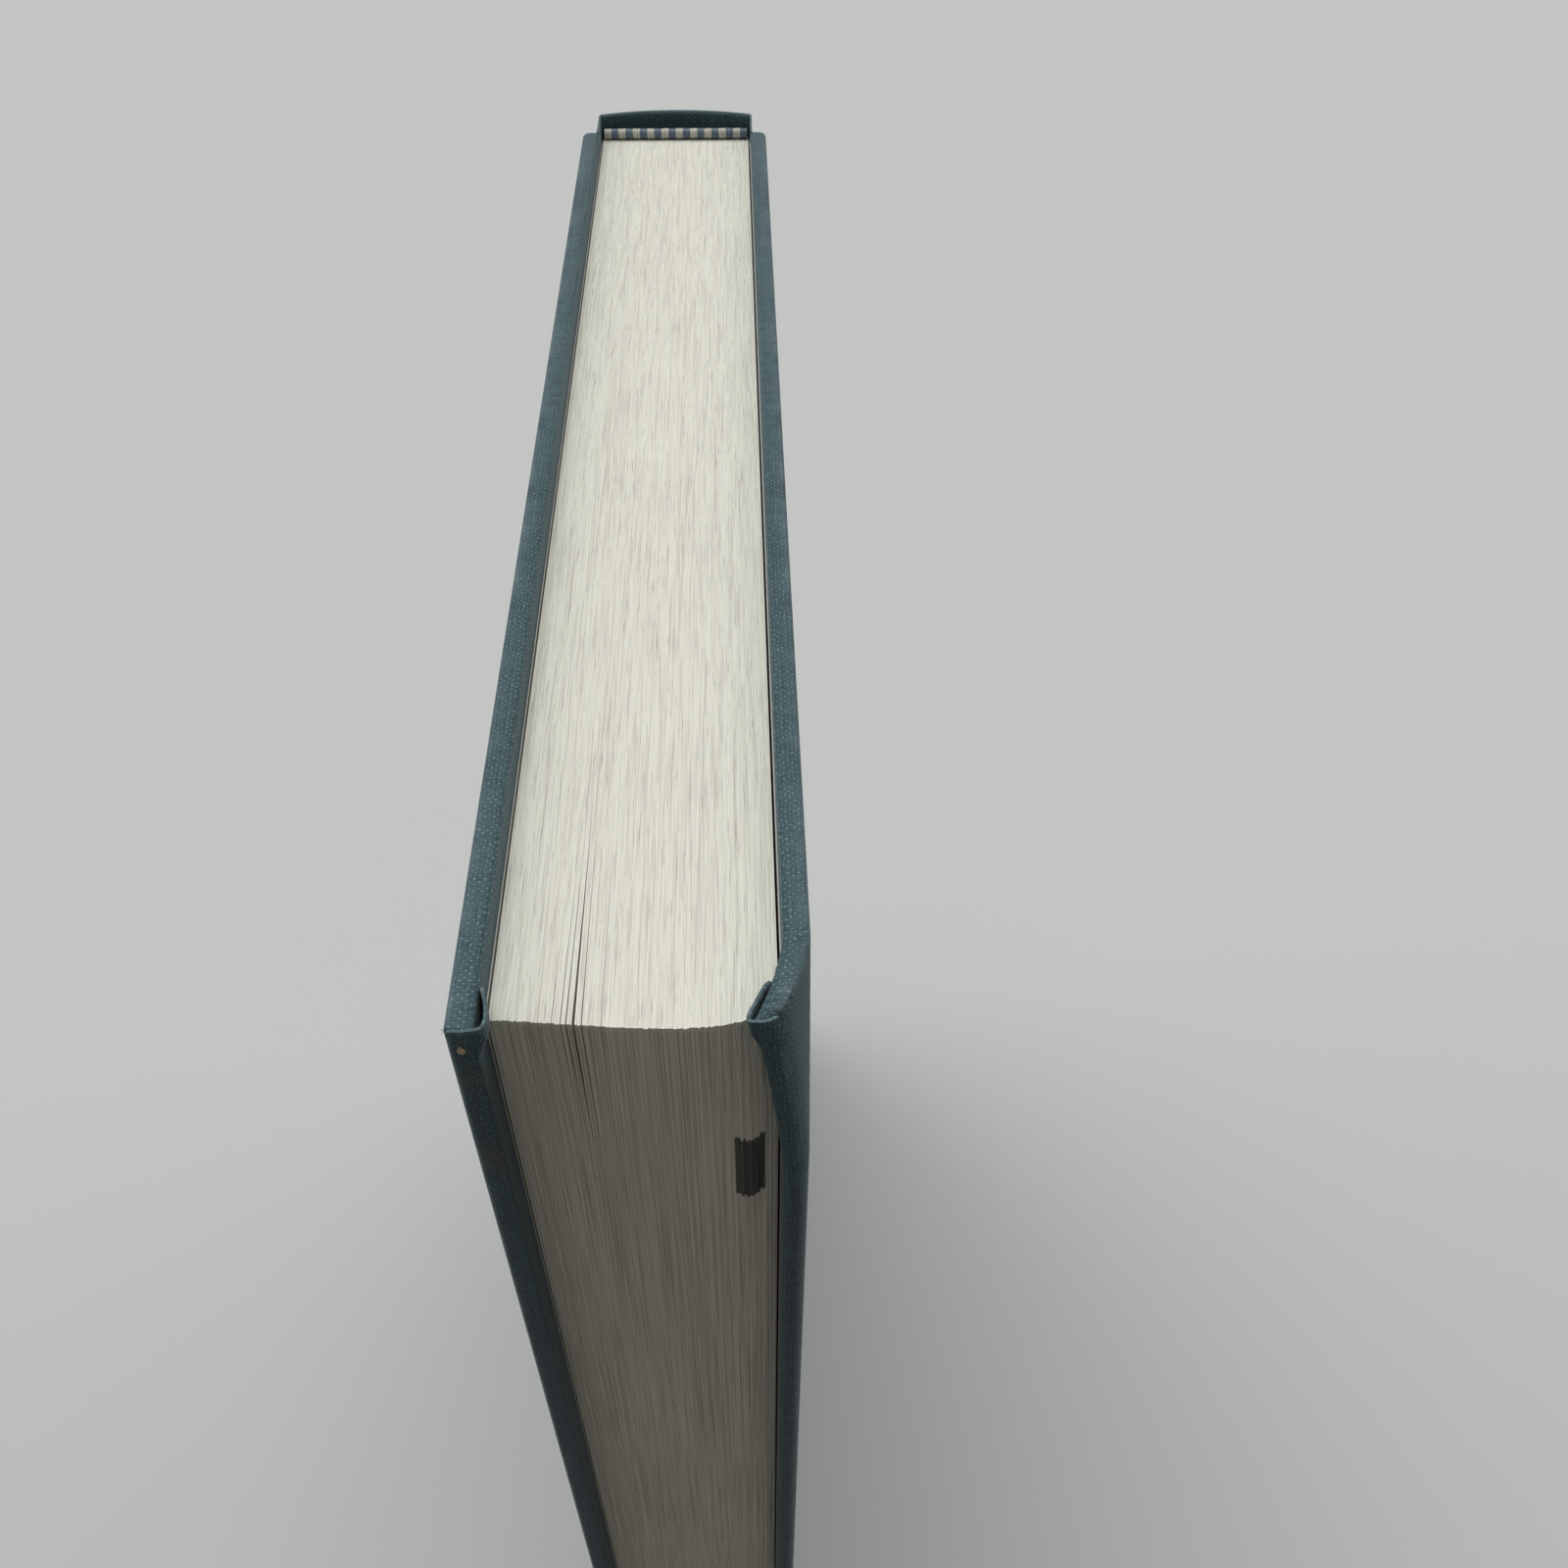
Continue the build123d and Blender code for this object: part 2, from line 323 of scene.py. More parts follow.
# Painted shade: below the head the leaf lines are darkened towards #6E6A60, as shade between the leaves.
fore_edge_painted_shade = add_node(
    tree, "MapRange",
    {"Value": fore_tone.outputs["Fac"], "From Min": 0.45, "From Max": 0.68, "To Max": 0.5},
)
below_head = add_node(
    tree, "MapRange",
    {"Value": axes.outputs["Z"], "From Min": head - 0.3 * mm, "From Max": head - 0.8 * mm},
)
fore_edge_shade_amount = add_node(
    tree, "Math", {0: fore_edge_painted_shade.outputs[0], 1: below_head.outputs[0]}, operation="MULTIPLY",
)
lines_and_painted_shade = add_node(
    tree, "Mix",
    {0: fore_edge_shade_amount.outputs[0], 6: dashed.outputs[2], 7: linear("#6E6A60")},
    data_type="RGBA",
)

# A thumb index was printed off the edge of some leaves near the back. Its ends dip in the middle, and are
# ragged because the leaves have shifted.
index_left, index_right = 8.0 * mm, 10.85 * mm
index_low, index_high = 228.9 * mm, 239.2 * mm
index_deep = 1.5 * mm
index_soft = 0.12 * mm
index_ragged = 0.6 * mm
index_dip = 0.8 * mm
index_rise = 0.3 * mm
index_step = repeats(0.38462 * mm, math.inf, math.inf)
index_middle = (index_left + index_right) / 2
index_half = (index_right - index_left) / 2
shifted_leaves = add_node(tree, "Mapping", {"Vector": spot, "Scale": index_step})
shifted = add_node(tree, "TexNoise", {"Vector": shifted_leaves.outputs[0], "Scale": 1.0, "Detail": 2.0})
ragged_ends = add_node(
    tree, "MapRange",
    {
        "Value": shifted.outputs["Fac"], "From Min": 0.25, "From Max": 0.75,
        "To Min": -index_ragged, "To Max": index_ragged,
    },
)
from_middle = add_node(tree, "Math", {0: axes.outputs["X"], 1: index_middle}, operation="SUBTRACT")
off_middle = add_node(tree, "Math", {0: from_middle.outputs[0]}, operation="ABSOLUTE")
dipped = add_node(
    tree, "MapRange",
    {"Value": off_middle.outputs[0], "From Max": index_half, "To Min": index_dip, "To Max": -index_rise},
    interpolation_type="SMOOTHSTEP",
)
end_shift = add_node(tree, "Math", {0: ragged_ends.outputs[0], 1: dipped.outputs[0]}, operation="ADD")
index_z = add_node(tree, "Math", {0: axes.outputs["Z"], 1: end_shift.outputs[0]}, operation="ADD")
printed = 1.0
for value, start, way in (
    (axes.outputs["X"], index_left, 1),
    (axes.outputs["X"], index_right, -1),
    (index_z.outputs[0], index_low, 1),
    (index_z.outputs[0], index_high, -1),
    (axes.outputs["Y"], fore_edge + index_deep, -1),
):
    border = add_node(
        tree, "MapRange",
        {"Value": value, "From Min": start - way * index_soft, "From Max": start + way * index_soft},
        interpolation_type="SMOOTHSTEP",
    )
    printed = add_node(tree, "Math", {0: printed, 1: border.outputs[0]}, operation="MULTIPLY").outputs[0]
inked_leaves = add_node(
    tree, "MapRange",
    {"Value": leaf_tone.outputs["Fac"], "From Min": 0.3, "From Max": 0.62, "To Min": 1.0, "To Max": 0.86},
)
ink = add_node(tree, "Math", {0: printed, 1: inked_leaves.outputs[0]}, operation="MULTIPLY")
page_colour = add_node(
    tree, "Mix", {0: ink.outputs[0], 6: lines_and_painted_shade.outputs[2], 7: linear("#171618")}, data_type="RGBA",
)
tree.links.new(page_colour.outputs[2], shader.inputs["Base Color"])
leaf_bump = add_node(
    tree, "Bump", {"Height": leaf_tone.outputs["Fac"], "Strength": 0.35, "Distance": 0.1 * mm},
)
tree.links.new(leaf_bump.outputs[0], shader.inputs["Normal"])
leaves.data.materials.append(book_paper)
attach(leaves, "book_block")
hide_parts("text_block")

# Endpapers
# Heavier plain paper, one folded sheet at each end: half is tipped to the leaves as the flyleaf and half
# is pasted down inside the cover, over the turned-in cloth. Between them the sheet bridges the joint.
paste_low, paste_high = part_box("front_pastedown")
paper_thickness = 0.12 * mm
paste_inset = 0.3 * mm
cloth_thickness = 0.3 * mm
turn_in = 15 * mm
press_soft = 0.8 * mm
paste_room = 0.05 * mm
bridge_lap = 0.1 * mm
bridge_bow = 1.6 * paper_thickness
window_front = cover_front + turn_in + paste_room
window_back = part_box("front_board")[1].y - paste_room
window_low, window_high = turn_in + paste_room, cover_top - turn_in - paste_room
joint_block_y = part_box("spine_inlay")[0].y
joint_cover_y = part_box("front_board")[1].y + cloth_thickness
bump_slices_y = [cover_front + 0.75 * mm * number for number in range(2, 14)]
bump_slices_z = [cover_top - 0.85 * mm * number for number in range(2, 14)]
bump_slices_z += [cover_top - (12 + 1.6 * number) * mm for number in range(11)]

# Wove endpaper, uncoated: matte and white, with a fine even mottle of fibres and hardly any cloudiness.
fibre_clump = 1.1111 * mm
paper_cloud = 40 * mm
endpaper, tree, shader = finish_of("wove_endpaper", 0.85)
spot = add_node(tree, "TexCoord", {}).outputs["Object"]
fibre = add_node(
    tree, "TexNoise", {"Vector": spot, "Scale": 1 / fibre_clump, "Detail": 5.0, "Roughness": 0.7},
)
cloudy = add_node(tree, "TexNoise", {"Vector": spot, "Scale": 1 / paper_cloud, "Detail": 3.0})
fibre_colour = add_node(
    tree, "ValToRGB", {"Fac": fibre.outputs["Fac"]}, ramp=((0.0, "#E2E1D8"), (1.0, "#F1F0E8")),
)
clouds = add_node(
    tree, "MapRange",
    {"Value": cloudy.outputs["Fac"], "From Min": 0.35, "From Max": 0.75, "To Max": 0.35},
)
endpaper_colour = add_node(
    tree, "Mix",
    {0: clouds.outputs[0], 6: fibre_colour.outputs["Color"], 7: linear("#EEEBE0")},
    data_type="RGBA", blend_type="MULTIPLY",
)
tree.links.new(endpaper_colour.outputs[2], shader.inputs["Base Color"])
fibre_bump = add_node(
    tree, "Bump", {"Height": fibre.outputs["Fac"], "Strength": 0.25, "Distance": 0.03 * mm},
)
tree.links.new(fibre_bump.outputs[0], shader.inputs["Normal"])
for name in ("front_flyleaf", "back_flyleaf"):
    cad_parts[name].material_slots[0].material = endpaper


def bumped(points):
    """Rolls the head corner of the back cover inwards; its crushed edges shear instead of turning."""
    deep = cover_out - points[:, 0]
    share = bump_share(points[:, 1], points[:, 2])
    turn = np.interp(share, roll_shares, roll_turns)
    x_new = cover_out - np.interp(share, roll_shares, roll_in) - deep * np.cos(turn)
    drawn_in = bump_length * share - np.interp(share, roll_shares, roll_along)
    back = drawn_in + bump_shear * deep * np.sin(turn)
    return np.column_stack((x_new, points[:, 1] - back * bump_way_y, points[:, 2] - back * bump_way_z))


def turn_over(piece):
    """Mirrors a piece of one cover to the other cover, with its faces still outwards."""
    points = read_points(piece.data)
    points[:, 0] *= -1
    write_points(piece.data, points)
    piece.data.flip_normals()


def face_outwards(piece):
    """Turns all faces of a closed piece outwards."""
    pick(piece)
    bpy.ops.object.mode_set(mode="EDIT")
    bpy.ops.mesh.select_all(action="SELECT")
    bpy.ops.mesh.normals_make_consistent(inside=False)
    bpy.ops.object.mode_set(mode="OBJECT")


def smooth(piece, degrees):
    """Shades a piece smooth, apart from edges sharper than an angle."""
    pick(piece)
    bpy.ops.object.shade_smooth_by_angle(angle=math.radians(degrees))


def apply_modifier(piece, kind, **settings):
    """Adds one modifier and applies it."""
    pick(piece)
    modifier = piece.modifiers.new(kind.lower(), kind)
    for name, value in settings.items():
        setattr(modifier, name, value)
    bpy.ops.object.modifier_apply(modifier=modifier.name)


def joint_strip(name, side, rows, y_ends, z_ends, lie, thickness):
    """A sheet across one joint; lie gives its x on the back cover by the share of the way to the spine."""
    bpy.ops.mesh.primitive_grid_add(x_subdivisions=16, y_subdivisions=rows, size=1)
    strip = bpy.context.object
    strip.name = name
    points = read_points(strip.data)
    along = points[:, 0] + 0.5
    y = y_ends[0] + along * (y_ends[1] - y_ends[0])
    z = z_ends[0] + (points[:, 1] + 0.5) * (z_ends[1] - z_ends[0])
    write_points(strip.data, np.column_stack((side * lie(along), y, z)))
    apply_modifier(strip, "SOLIDIFY", thickness=thickness, offset=0)
    face_outwards(strip)
    smooth(strip, 50)
    return strip


def endpaper_lie(along):
    """The endpaper bows a little towards the leaves on its way to the spine."""
    return -paste_high.x + paper_thickness / 2 - bridge_bow * along ** 2


for name, side in (("front", -1), ("back", 1)):
    pastedown = box_piece(
        "pasted_" + name + "_endpaper",
        (-paste_high.x, paste_low.y + paste_inset, paste_low.z + paste_inset),
        (-paste_high.x + paper_thickness, joint_cover_y, paste_high.z - paste_inset),
    )
    slice_across(
        pastedown, 1,
        (window_front, window_front + press_soft, window_back - press_soft, window_back),
    )
    slice_across(
        pastedown, 2,
        (window_low, window_low + press_soft, window_high - press_soft, window_high),
    )
    if name == "back":
        slice_across(pastedown, 1, bump_slices_y)
        slice_across(pastedown, 2, bump_slices_z)
    points = read_points(pastedown.data)
    pressed = (
        (points[:, 1] > window_front + near) & (points[:, 1] < window_back - near)
        & (points[:, 2] > window_low + near) & (points[:, 2] < window_high - near)
    )
    points[:, 0] += np.where(pressed, cloth_thickness, 0)
    if name == "back":
        points = bumped(points)
    write_points(pastedown.data, points)
    if name == "front":
        turn_over(pastedown)
    pastedown.data.materials.append(endpaper)
    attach(pastedown, name + "_cover")
    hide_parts(name + "_pastedown")

    bridge = joint_strip(
        name + "_endpaper_joint", side, 12,
        (joint_cover_y - bridge_lap, spine - bridge_lap),
        (paste_low.z + paste_inset, paste_high.z - paste_inset),
        endpaper_lie, paper_thickness,
    )
    bridge.data.materials.append(endpaper)
    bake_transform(bridge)

# Spine linings
# Open-weave cotton gauze is glued over the back of the leaves and runs into the joints; a strip of
# brown kraft paper stiffens it. Both sit in the dark behind the hollow spine.

# Starched gauze: dull and cream, with darker holes between its threads. A brick is half a unit wide in the
# Brick texture.
gauze_hole = 0.90909 * mm
gauze, tree, shader = finish_of("starched_cotton_gauze", 0.95)
spot = add_node(tree, "TexCoord", {}).outputs["Object"]
holes = add_node(
    tree, "TexBrick",
    {
        "Vector": spot, "Scale": 0.5 / gauze_hole, "Mortar Size": 0.2,
        "Color1": linear("#B9AE98"), "Color2": linear("#B3A791"), "Mortar": linear("#E5DDCB"),
    },
    offset=0.0,
)
tree.links.new(holes.outputs["Color"], shader.inputs["Base Color"])
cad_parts["spine_mull"].material_slots[0].material = gauze

# Kraft paper: matte and brown, mottled by clumps of coarse pulp.
pulp_clump = 1.6667 * mm
kraft, tree, shader = finish_of("kraft_lining_paper", 0.9)
spot = add_node(tree, "TexCoord", {}).outputs["Object"]
pulp = add_node(
    tree, "TexNoise", {"Vector": spot, "Scale": 1 / pulp_clump, "Detail": 6.0, "Roughness": 0.75},
)
pulp_colour = add_node(
    tree, "ValToRGB", {"Fac": pulp.outputs["Fac"]}, ramp=((0.0, "#7C5E3E"), (1.0, "#A5835C")),
)
tree.links.new(pulp_colour.outputs["Color"], shader.inputs["Base Color"])
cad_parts["spine_lining"].material_slots[0].material = kraft

# Head and tail bands
# A cord wrapped with thread in two colours by turns, woven to a cotton tape that is glued to the back of
# the leaves. The bead lies over the edge of the leaves at each end of the spine.
bead_radius = 0.8 * mm
thread_pitch = 0.4 * mm
thread_round = 0.13 * mm
thread_play = 0.03 * mm
threads_in_stripe = 3
tape_height = 11 * mm
tape_depth = 0.25 * mm
tape_round = 0.06 * mm
band_back = spine + tape_depth
thread_count = round(2 * leaf_half / thread_pitch)

# Spun silk: soft sheen, and fine strands that run along the thread.
strand = repeats(0.11111 * mm, 1.1111 * mm, 1.1111 * mm)
thread_finishes = []
for name, dark, light in (
    ("cream_silk_thread", "#C2BDB1", "#E2DED3"),
    ("slate_silk_thread", "#56677A", "#7A8A99"),
):
    silk, tree, shader = finish_of(name, 0.55, Sheen_Weight=0.2)
    spot = add_node(tree, "TexCoord", {}).outputs["Object"]
    strands = add_node(tree, "Mapping", {"Vector": spot, "Scale": strand})
    strand_tone = add_node(tree, "TexNoise", {"Vector": strands.outputs[0], "Scale": 1.0, "Detail": 3.0})
    strand_colour = add_node(
        tree, "ValToRGB", {"Fac": strand_tone.outputs["Fac"]}, ramp=((0.3, dark), (0.7, light)),
    )
    tree.links.new(strand_colour.outputs["Color"], shader.inputs["Base Color"])
    strand_bump = add_node(
        tree, "Bump", {"Height": strand_tone.outputs["Fac"], "Strength": 0.3, "Distance": 0.05 * mm},
    )
    tree.links.new(strand_bump.outputs[0], shader.inputs["Normal"])
    thread_finishes.append(silk)

for node_name, edge, way in (("headband", head, 1), ("tailband", tail, -1)):
    tape_ends = sorted((edge - way * tape_height, edge + way * bead_radius))
    tape = box_piece(
        node_name + "_tape",
        (-leaf_half, spine, tape_ends[0]), (leaf_half, band_back, tape_ends[1]),
    )
    bevel_edges(tape, lambda a, b: True, tape_round, 2)
    bpy.ops.mesh.primitive_cylinder_add(
        vertices=14, radius=bead_radius, depth=thread_pitch,
        location=(0, band_back - bead_radius, edge + way * bead_radius), rotation=(0, math.pi / 2, 0),
    )
    thread = bpy.context.object
    bpy.ops.object.transform_apply(location=True, rotation=True, scale=True)
    bevel_edges(thread, lambda a, b: abs(a.x - b.x) < near, thread_round, 2)
    flat_thread = read_points(thread.data)
    band_pieces = [tape]
    for number in range(thread_count):
        points = flat_thread.copy()
        points[:, 0] += -leaf_half + (number + 0.5) * 2 * leaf_half / thread_count
        points[:, 1:] += (draw.uniform(-1, 1) * thread_play, draw.uniform(-1, 1) * thread_play)
        band_pieces.append(copy_at(thread, points, "band_thread"))
    bpy.data.objects.remove(thread)
    # The tape comes first, and is cream like the first stripe.
    for number, piece in enumerate(band_pieces):
        for silk in thread_finishes:
            piece.data.materials.append(silk)
        stripe = max(number - 1, 0) // threads_in_stripe % 2
        piece.data.polygons.foreach_set("material_index", [stripe] * len(piece.data.polygons))
    band = join(band_pieces, "wrapped_" + node_name)
    smooth(band, 50)
    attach(band, "book_block")
    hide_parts(node_name)

# Boards and spine card
# Grey board cut square, inside the cloth of each cover, and a strip of thinner card inside the spine. The
# corner of the back board is bumped: it is rolled inwards, and its edges are crushed round.
board_low, board_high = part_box("front_board")
board_out = -board_low.x
board_fore_edge_round = 1.2 * mm
board_end_round = 0.4 * mm
crushed_from = 0.05
crushed_room = Vector((1.1, 1.2, 1.0)) * mm

# Grey board, pressed from waste paper: dull, with coarse flecks.
board_fleck = 0.71429 * mm
grey_board, tree, shader = finish_of("grey_board", 0.92)
spot = add_node(tree, "TexCoord", {}).outputs["Object"]
flecks = add_node(
    tree, "TexNoise", {"Vector": spot, "Scale": 1 / board_fleck, "Detail": 6.0, "Roughness": 0.8},
)
board_colour = add_node(
    tree, "ValToRGB", {"Fac": flecks.outputs["Fac"]}, ramp=((0.0, "#6F6654"), (1.0, "#A1957C")),
)
tree.links.new(board_colour.outputs["Color"], shader.inputs["Base Color"])
board_bump = add_node(
    tree, "Bump", {"Height": flecks.outputs["Fac"], "Strength": 0.4, "Distance": 0.05 * mm},
)
tree.links.new(board_bump.outputs[0], shader.inputs["Normal"])
for name in ("front_board", "spine_inlay"):
    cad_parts[name].material_slots[0].material = grey_board


def on_board_fore_edge(a, b):
    """The outer edge of the board along its fore-edge."""
    return min(a.x, b.x) > board_out - near and max(a.y, b.y) < board_low.y + near


def on_board_end(a, b):
    """The edges of the board at its head and tail."""
    return min(a.z, b.z) > board_high.z - near or max(a.z, b.z) < board_low.z + near


bent_board = box_piece(
    "bumped_back_board",
    (-board_high.x, board_low.y, board_low.z),
    (board_out, board_high.y, board_high.z),
)
bevel_edges(bent_board, on_board_fore_edge, board_fore_edge_round, 3)
bevel_edges(bent_board, on_board_end, board_end_round, 2)
slice_across(bent_board, 1, bump_slices_y)
slice_across(bent_board, 2, bump_slices_z)
points = read_points(bent_board.data)
crushed = bump_share(points[:, 1], points[:, 2]) > crushed_from
points[crushed, 0] = np.minimum(points[crushed, 0], cover_out - crushed_room.x)
points[crushed, 1] = np.maximum(points[crushed, 1], cover_front + crushed_room.y)
points[crushed, 2] = np.minimum(points[crushed, 2], cover_top - crushed_room.z)
write_points(bent_board.data, bumped(points))
bent_board.data.materials.append(grey_board)
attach(bent_board, "back_cover")
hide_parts("back_board")

# Cover cloth
# One sheet of dyed cotton bookcloth on the real book: pasted over the boards, its edges turned in 15 mm
# and pasted down inside. The crowns of the threads have rubbed pale, most along the edges.
cover_in = -board_high.x - cloth_thickness
edge_round = 0.5 * mm
hinge_round = 1.1 * mm
fold_sink = 0.3 * mm
rub_width = 0.75 * mm
rub_strength = 1.6
long_slices_y = [cover_front + step * mm for step in (60, 110)]
long_slices_z = [cover_top * number / 8 for number in range(1, 8)]
smoothed_from = 0.1


def thread_map(piece):
    """Lays a UV map on a piece in millimetres, square to the face that each polygon faces most."""
    layer = piece.data.uv_layers.new(name="threads")
    for polygon in piece.data.polygons:
        facing = max(range(3), key=lambda axis: abs(polygon.normal[axis]))
        flat = [axis for axis in range(3) if axis != facing]
        for loop in polygon.loop_indices:
            point = piece.data.vertices[piece.data.loops[loop].vertex_index].co
            layer.data[loop].uv = (point[flat[0]] / mm, point[flat[1]] / mm)


# Dyed cotton bookcloth, plain weave with a natural finish: matte, blue-grey, with paler thread crowns and
# painted shade darkening the valleys between them.
# The thread spacings and the other sizes are real ones in millimetres, as the thread map is.
thread_spacings = (0.4, 0.34)
slub_length = 1.4286
patch_size = 0.86957
cloud_size = 16.667
grain_size = 0.41667
rubbed_patch = 4.0
bookcloth, tree, shader = finish_of(
    "dyed_cotton_bookcloth", 0.86, Specular_IOR_Level=0.2, Sheen_Weight=0.12, Sheen_Roughness=0.5,
)
threads = add_node(tree, "UVMap", {}, uv_map="threads").outputs["UV"]
slub = add_node(tree, "TexNoise", {"Vector": threads, "Scale": 1 / slub_length, "Detail": 2.0})
slub_shift = add_node(
    tree, "VectorMath", {0: slub.outputs["Color"], 1: (0.5, 0.5, 0.5)}, operation="SUBTRACT",
)
slub_scaled = add_node(tree, "VectorMath", {0: slub_shift.outputs[0], "Scale": 0.6}, operation="SCALE")
uneven = add_node(tree, "VectorMath", {0: threads, 1: slub_scaled.outputs[0]}, operation="ADD")
thread_axes = add_node(tree, "SeparateXYZ", {"Vector": uneven.outputs[0]})
waves = []
for socket, spacing in zip("XY", thread_spacings):
    angle = add_node(
        tree, "Math", {0: thread_axes.outputs[socket], 1: math.pi / spacing}, operation="MULTIPLY",
    )
    waves.append(add_node(tree, "Math", {0: angle.outputs[0]}, operation="COSINE").outputs[0])
weave = add_node(tree, "Math", {0: waves[0], 1: waves[1]}, operation="MULTIPLY")
height = add_node(tree, "Math", {0: weave.outputs[0]}, operation="ABSOLUTE")
crown = add_node(
    tree, "MapRange", {"Value": weave.outputs[0], "From Min": 0.56, "From Max": 0.98},
    interpolation_type="SMOOTHSTEP",
)
patchy = add_node(
    tree, "TexNoise", {"Vector": threads, "Scale": 1 / patch_size, "Detail": 2.0, "Roughness": 0.6},
)
patches = add_node(tree, "MapRange", {"Value": patchy.outputs["Fac"], "From Min": 0.31, "From Max": 0.66})
speck = add_node(tree, "Math", {0: crown.outputs[0], 1: patches.outputs[0]}, operation="MULTIPLY")
cloudy = add_node(tree, "TexNoise", {"Vector": threads, "Scale": 1 / cloud_size, "Detail": 4.0})
dyed = add_node(
    tree, "ValToRGB", {"Fac": cloudy.outputs["Fac"]}, ramp=((0.3, "#33484E"), (0.7, "#3A5056")),
)
# Painted shade: the valleys between the threads are darkened towards #22343A.
valley_shade = add_node(
    tree, "MapRange", {"Value": height.outputs[0], "From Max": 0.5, "To Min": 0.6, "To Max": 0.0},
)
shaded = add_node(
    tree, "Mix", {0: valley_shade.outputs[0], 6: dyed.outputs["Color"], 7: linear("#22343A")}, data_type="RGBA",
)
grain = add_node(
    tree, "TexNoise", {"Vector": threads, "Scale": 1 / grain_size, "Detail": 4.0, "Roughness": 0.75},
)
grain_light = add_node(
    tree, "MapRange",
    {"Value": grain.outputs["Fac"], "From Min": 0.42, "From Max": 0.75, "To Max": 0.65},
)
cloth_colour = add_node(
    tree, "Mix",
    {0: grain_light.outputs[0], 6: shaded.outputs[2], 7: linear("#5C767B")},
    data_type="RGBA",
).outputs[2]

# Here and there a thread, or a band of threads, is thicker and paler, along the cloth and across it.
for thread_size, most in (
    (repeats(0.3125, 14.286, 1), 0.22),
    (repeats(14.286, 0.3125, 1), 0.22),
    (repeats(1.1111, 50, 1), 0.2),
    (repeats(50, 1.1111, 1), 0.2),
):
    long_threads = add_node(tree, "Mapping", {"Vector": threads, "Scale": thread_size})
    thick_thread = add_node(
        tree, "TexNoise", {"Vector": long_threads.outputs[0], "Scale": 1.0, "Detail": 2.0},
    )
    thick_light = add_node(
        tree, "MapRange",
        {"Value": thick_thread.outputs["Fac"], "From Min": 0.5, "From Max": 0.8, "To Max": most},
    )
    cloth_colour = add_node(
        tree, "Mix", {0: thick_light.outputs[0], 6: cloth_colour, 7: linear("#647D82")}, data_type="RGBA",
    ).outputs[2]

# The cloth is rubbed in patches, as far as each piece's own rub marks reach. On the lips of the corner
# folds the same marks are partly a painted highlight, where the top of the lip faces the light.
rub_and_lip_light = add_node(tree, "Attribute", {}, attribute_name="rub_and_lip_light").outputs["Fac"]
rub_noise = add_node(tree, "TexNoise", {"Vector": threads, "Scale": 1 / rubbed_patch, "Detail": 3.0})
rub_more = add_node(
    tree, "MapRange", {"Value": rub_noise.outputs["Fac"], "From Min": 0.35, "From Max": 0.7},
)
patchy_rub_and_lip_light = add_node(tree, "Math", {0: rub_and_lip_light, 1: rub_more.outputs[0]}, operation="MULTIPLY")
rub_and_lip_light_amount = add_node(tree, "Math", {0: patchy_rub_and_lip_light.outputs[0], 1: 0.22}, operation="MULTIPLY")
speck_amount = add_node(tree, "Math", {0: speck.outputs[0], 1: 0.6}, operation="MULTIPLY")
pale = add_node(tree, "Math", {0: speck_amount.outputs[0], 1: rub_and_lip_light_amount.outputs[0]}, operation="MAXIMUM")
cloth_colour = add_node(
    tree, "Mix", {0: pale.outputs[0], 6: cloth_colour, 7: linear("#A6BBBE")}, data_type="RGBA",
).outputs[2]

# Where the cloth of the front corner is chipped, the tan board shows; two scuffs below it are brownish.
# Each mark has its x and z, its radius in millimetres, its strength and its colour. A mark is 0.7 times as
# wide as it is tall, and its border is ragged by about a third of its radius.
mark_slender = 0.7
mark_ragged = 0.35
ragged_size = 1.1111 * mm
spot = add_node(tree, "TexCoord", {}).outputs["Object"]
ragged = add_node(tree, "TexNoise", {"Vector": spot, "Scale": 1 / ragged_size, "Detail": 2.0})
upright = add_node(tree, "VectorMath", {0: spot, 1: (1, 1, mark_slender)}, operation="MULTIPLY")
for x, z, radius, strength, colour in (
    (-13.72, 257.7, 0.7, 1.0, "#D2C29E"),
    (-13.1, 253.6, 1.9, 0.3, "#6B5C48"),
    (-13.2, 241.0, 2.6, 0.35, "#6B5C48"),
):
    centre = (x * mm, cover_front, mark_slender * z * mm)
    apart = add_node(tree, "VectorMath", {0: upright.outputs[0], 1: centre}, operation="DISTANCE")
    ragged_border = mark_ragged * radius * mm
    border_shift = add_node(
        tree, "MapRange",
        {
            "Value": ragged.outputs["Fac"], "From Min": 0.3, "From Max": 0.7,
            "To Min": -ragged_border, "To Max": ragged_border,
        },
    )
    from_centre = add_node(
        tree, "Math", {0: apart.outputs["Value"], 1: border_shift.outputs[0]}, operation="ADD",
    )
    fade_out = (1.35 - 0.55 * strength) * 0.7 * radius * mm
    fade_in = 0.35 * strength * radius * mm
    marked = add_node(
        tree, "MapRange",
        {"Value": from_centre.outputs[0], "From Min": fade_out, "From Max": fade_in, "To Max": strength},
        interpolation_type="SMOOTHSTEP",
    )
    cloth_colour = add_node(
        tree, "Mix", {0: marked.outputs[0], 6: cloth_colour, 7: linear(colour)}, data_type="RGBA",
    ).outputs[2]
tree.links.new(cloth_colour, shader.inputs["Base Color"])

